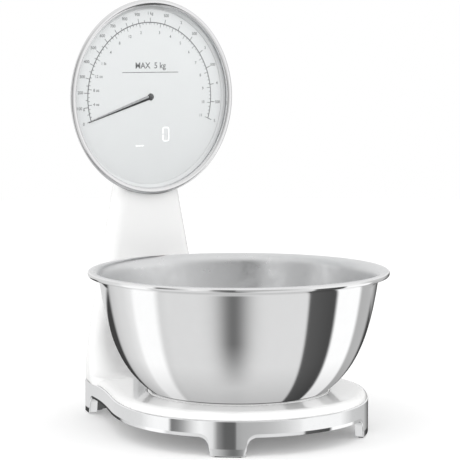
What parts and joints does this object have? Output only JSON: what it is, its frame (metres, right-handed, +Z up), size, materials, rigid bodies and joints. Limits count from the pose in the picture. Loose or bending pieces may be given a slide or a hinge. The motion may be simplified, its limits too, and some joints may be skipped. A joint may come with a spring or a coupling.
{
  "type": "kitchen scale",
  "caption": "Retro kitchen scale: footed base, tapered column, round dial head with a needle, and a lift-off mixing bowl on a pressing weighing plate.",
  "frame": {"origin": "centre of the bounding box's bottom face, on the surface it stands on", "axes": "+Z up, the dial faces -Y, +X to the right of someone facing the dial"},
  "size_m": [0.262, 0.289, 0.3774],
  "materials": {
    "white": "high-gloss white moulding",
    "chrome": "mirror-polished plating",
    "bowl_steel": "mirror-polished outside, satin inside",
    "steel": "pressed sheet, satin",
    "screws": "zinc-plated cross-head screws",
    "alloy": "milled",
    "underside": "fine matt texture",
    "rubber": "matt",
    "board": "solder-masked circuit board",
    "works": "matt black moulding",
    "battery": "plain printed sleeve",
    "contacts": "stamped spring strip",
    "wire": "flexible insulation",
    "dial": "silver-grey satin print ground",
    "needle": "satin, dark",
    "glass": "clear flat cover"
  },
  "bodies": {
    "base": {"base_plate": "underside", "base_screw_1": "screws", "base_screw_2": "screws", "base_screw_3": "screws", "base_screw_4": "screws", "base_skirt": "chrome", "battery_cell_1": "battery", "battery_cell_2": "battery", "battery_cell_3": "battery", "battery_cell_4": "battery", "battery_contact_front": "contacts", "battery_contact_rear": "contacts", "battery_tray": "underside", "bezel_ring": "chrome", "body_shell": "white", "cell_base_spacer": "alloy", "cell_fixed_screw_1": "screws", "cell_fixed_screw_2": "screws", "column_rear_cover": "white", "cover_screw_1": "screws", "cover_screw_2": "screws", "dial_lens": "glass", "dial_plate": "dial", "dial_spacer_ring": "white", "foot_pad_front_left": "rubber", "foot_pad_front_right": "rubber", "foot_pad_rear_left": "rubber", "foot_pad_rear_right": "rubber", "head_board": "board", "head_housing": "white", "head_screw_1": "screws", "head_screw_2": "screws", "led_display": "works", "load_cell": "alloy", "load_cell_cable": "wire", "main_board": "board", "needle_motor": "works", "spine_bracket": "steel", "spine_screw_1": "screws", "spine_screw_2": "screws", "tare_switch": "works", "unit_switch": "works", "wire_harness": "wire"},
    "platform": {"plate_carrier": "steel", "weighing_plate": "white", "cell_top_spacer": "alloy", "cell_moving_screw_1": "screws", "cell_moving_screw_2": "screws"},
    "bowl": {"mixing_bowl": "bowl_steel"},
    "needle": {"needle_shaft": "steel", "needle_hand": "needle", "needle_hub": "chrome"},
    "tare_push": {"tare_button": "chrome"},
    "unit_push": {"unit_button": "chrome"},
    "door": {"battery_door": "underside"}
  },
  "joints": [
    {"name": "plate_press", "type": "slide", "parent": "base", "child": "platform", "axis": [0, 0, -1], "range_m": [0, 0.0004], "stiffness_N_per_m": 50000, "springref_m": -0.00012, "deforming": ["load_cell"]},
    {"name": "bowl_lift", "type": "slide", "parent": "platform", "child": "bowl", "axis": [0, -0.6, 0.8], "range_m": [0, 0.15]},
    {"name": "needle_sweep", "type": "hinge", "parent": "base", "child": "needle", "pos_m": [0, 0.12035, 0.2882], "axis": [0, 1, 0], "range_deg": [0, 216]},
    {"name": "tare_press", "type": "slide", "parent": "base", "child": "tare_push", "axis": [0, -1, 0], "range_m": [0, 0.0012], "stiffness_N_per_m": 500},
    {"name": "unit_press", "type": "slide", "parent": "base", "child": "unit_push", "axis": [0, -1, 0], "range_m": [0, 0.0012], "stiffness_N_per_m": 500},
    {"name": "battery_door_slide", "type": "slide", "parent": "base", "child": "door", "axis": [0, 1, 0], "range_m": [0, 0.055]}
  ]
}
